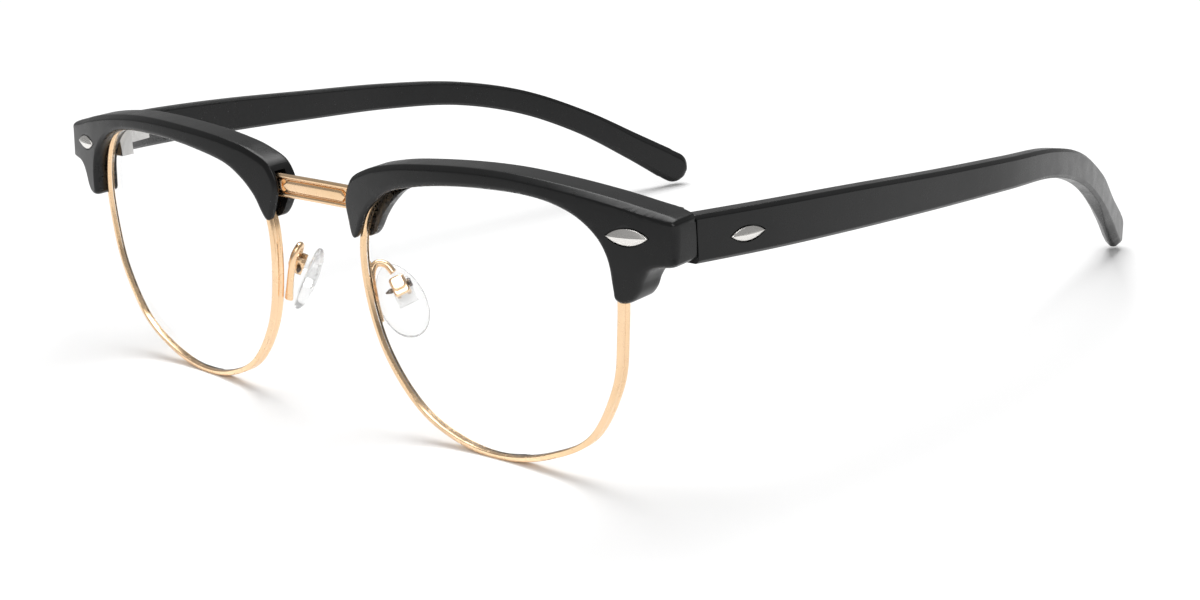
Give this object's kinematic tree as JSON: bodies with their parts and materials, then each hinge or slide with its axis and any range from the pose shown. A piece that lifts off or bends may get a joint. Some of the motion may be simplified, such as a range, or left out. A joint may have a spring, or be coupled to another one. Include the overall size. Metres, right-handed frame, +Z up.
{
  "type": "browline eyeglasses",
  "caption": "Browline eyeglasses: rose gold wire rims hung under black plastic brow pieces, with a metal bridge, clear nose pads and folding black temples.",
  "frame": {"origin": "middle of the glasses on the surface they stand on, with the temples open", "axes": "+X to the wearer's left, -Y out of the front of the lenses, +Y along the temples to the tips, +Z up"},
  "size_m": [0.1488, 0.1451, 0.0432],
  "materials": {
    "black_acetate": "satin black moulded plastic",
    "rose_gold": "polished pale rose gold plating",
    "clear_lens": "clear and colourless",
    "clear_silicone": "clear soft silicone",
    "clear_core": "clear hard plastic",
    "silver": "brushed silver",
    "steel": "plain steel",
    "screw_steel": "dark steel"
  },
  "bodies": {
    "front": {"brow_left": "black_acetate", "brow_right": "black_acetate", "rim_left": "rose_gold", "rim_right": "rose_gold", "rim_lock_left": "rose_gold", "rim_lock_right": "rose_gold", "rim_screw_left": "screw_steel", "rim_screw_right": "screw_steel", "lens_left": "clear_lens", "lens_right": "clear_lens", "bridge": "rose_gold", "brow_screw_left": "screw_steel", "brow_screw_right": "screw_steel", "front_plaque_left": "silver", "front_plaque_right": "silver", "hinge_front_left": "steel", "hinge_front_right": "steel", "hinge_screw_left": "screw_steel", "hinge_screw_right": "screw_steel", "pad_arm_left": "rose_gold", "pad_arm_right": "rose_gold", "pad_box_left": "rose_gold", "pad_box_right": "rose_gold", "pad_screw_left": "screw_steel", "pad_screw_right": "screw_steel"},
    "temple_left": {"hinge_temple_left": "steel", "temple_left": "black_acetate", "temple_plaque_left": "silver", "core_wire_left": "steel"},
    "temple_right": {"hinge_temple_right": "steel", "temple_right": "black_acetate", "temple_plaque_right": "silver", "core_wire_right": "steel"},
    "pad_left": {"nose_pad_left": "clear_silicone", "pad_core_left": "clear_core"},
    "pad_right": {"nose_pad_right": "clear_silicone", "pad_core_right": "clear_core"}
  },
  "joints": [
    {"name": "temple_left_fold", "type": "hinge", "parent": "front", "child": "temple_left", "pos_m": [0.0651, -0.0619, 0.0357], "axis": [0, 0, 1], "range_deg": [0, 80]},
    {"name": "temple_right_fold", "type": "hinge", "parent": "front", "child": "temple_right", "pos_m": [-0.0651, -0.0619, 0.0357], "axis": [0, 0, -1], "range_deg": [0, 74]},
    {"name": "pad_left_rock", "type": "hinge", "parent": "front", "child": "pad_left", "pos_m": [0.0122, -0.0652, 0.0209], "axis": [-0.5617, -0.7489, -0.3516], "range_deg": [-8, 8]},
    {"name": "pad_right_rock", "type": "hinge", "parent": "front", "child": "pad_right", "pos_m": [-0.0122, -0.0652, 0.0209], "axis": [-0.5617, 0.7489, 0.3516], "range_deg": [-8, 8]}
  ]
}
